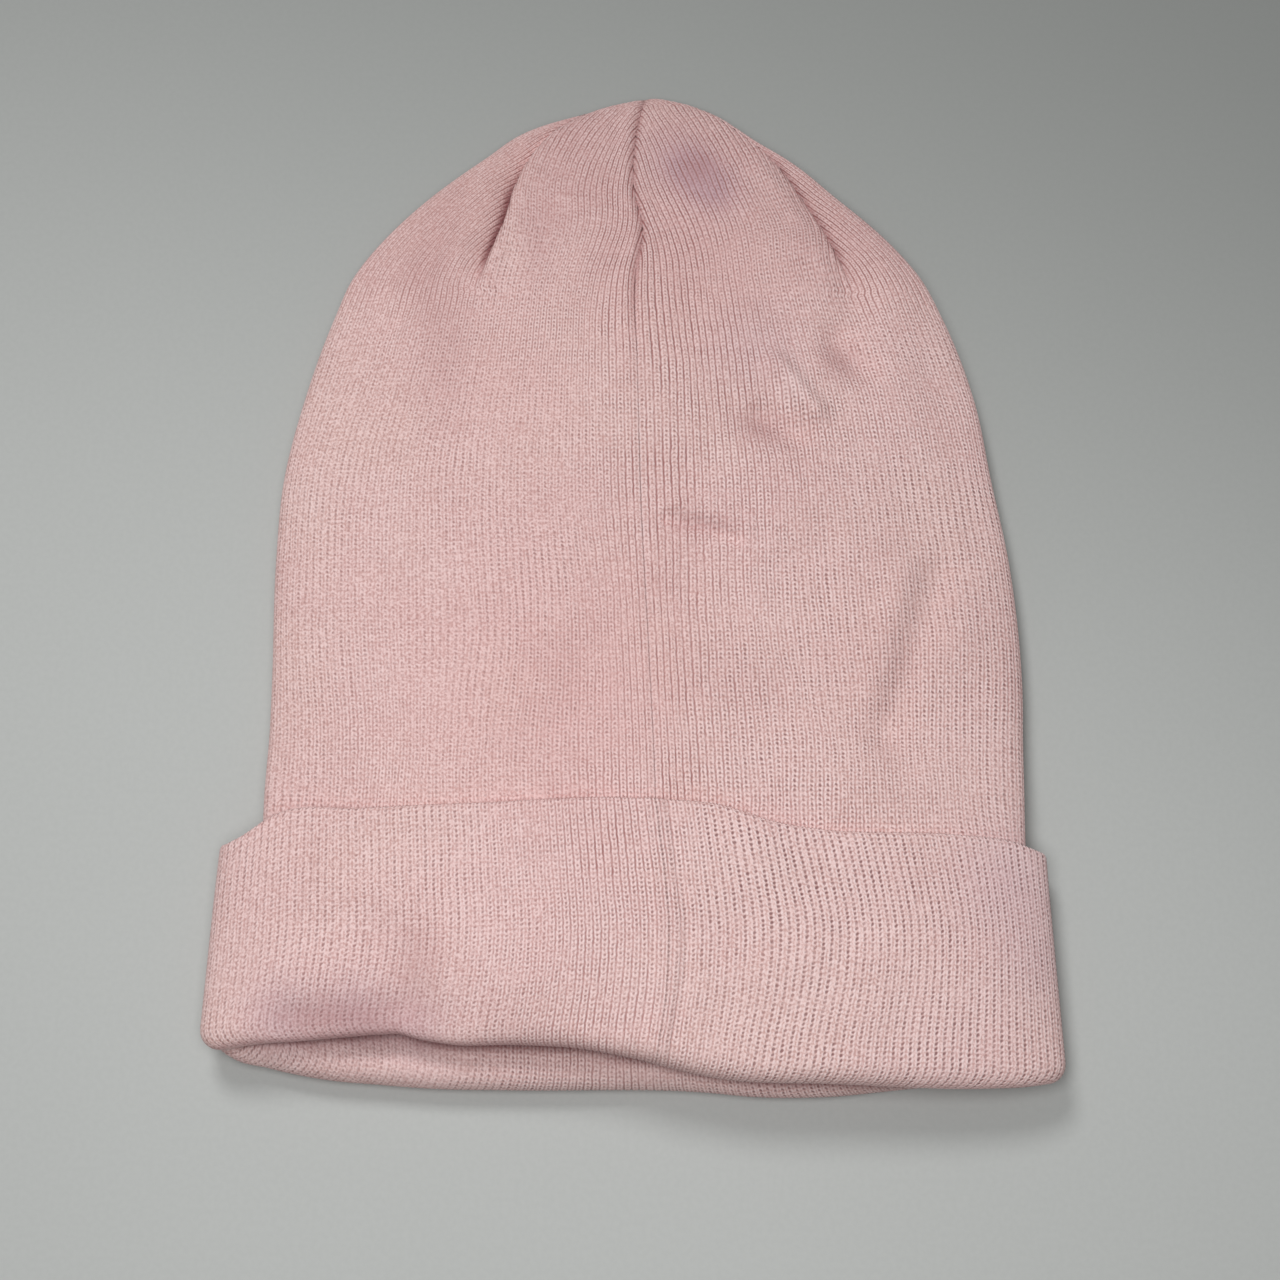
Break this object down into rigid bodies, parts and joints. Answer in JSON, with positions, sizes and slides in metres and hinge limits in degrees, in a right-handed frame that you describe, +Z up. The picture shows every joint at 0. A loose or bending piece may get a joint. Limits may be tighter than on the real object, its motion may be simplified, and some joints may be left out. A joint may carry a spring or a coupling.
{
  "type": "knit beanie",
  "caption": "Soft double-layer rib-knit beanie with a deep turned-up cuff and a darted crown, lying flat with its back seam up.",
  "frame": {"origin": "under the middle of the beanie, on the surface it lies on", "axes": "+Y from the mouth to the crown tip, +Z up out of the surface, +X to the right seen from the back of the beanie"},
  "size_m": [0.2148, 0.275, 0.0245],
  "materials": {
    "shell_knit": "pale pink fine rib knit, matt and slightly fuzzy",
    "lining_knit": "pale pink fine rib knit, inner layer",
    "cuff_knit": "pale pink fine rib knit, stretched a little more open",
    "seam_thread": "matching pink overlock thread"
  },
  "bodies": {
    "root": {"shell_back_left": "shell_knit", "shell_back_right": "shell_knit", "shell_front": "shell_knit", "lining_back_left": "lining_knit", "lining_back_right": "lining_knit", "lining_front": "lining_knit", "cuff_back_left": "cuff_knit", "cuff_back_right": "cuff_knit", "cuff_front": "cuff_knit", "cuff_facing_back": "cuff_knit", "cuff_facing_front": "cuff_knit", "shell_back_seam": "seam_thread", "back_seam_allowance": "lining_knit", "lining_back_seam": "seam_thread", "cuff_back_seam": "seam_thread", "dart_seam_back_left": "seam_thread", "dart_seam_back_right": "seam_thread", "dart_seam_front_left": "seam_thread", "dart_seam_front_right": "seam_thread", "crown_gather": "seam_thread", "lining_gather": "seam_thread"}
  },
  "joints": []
}
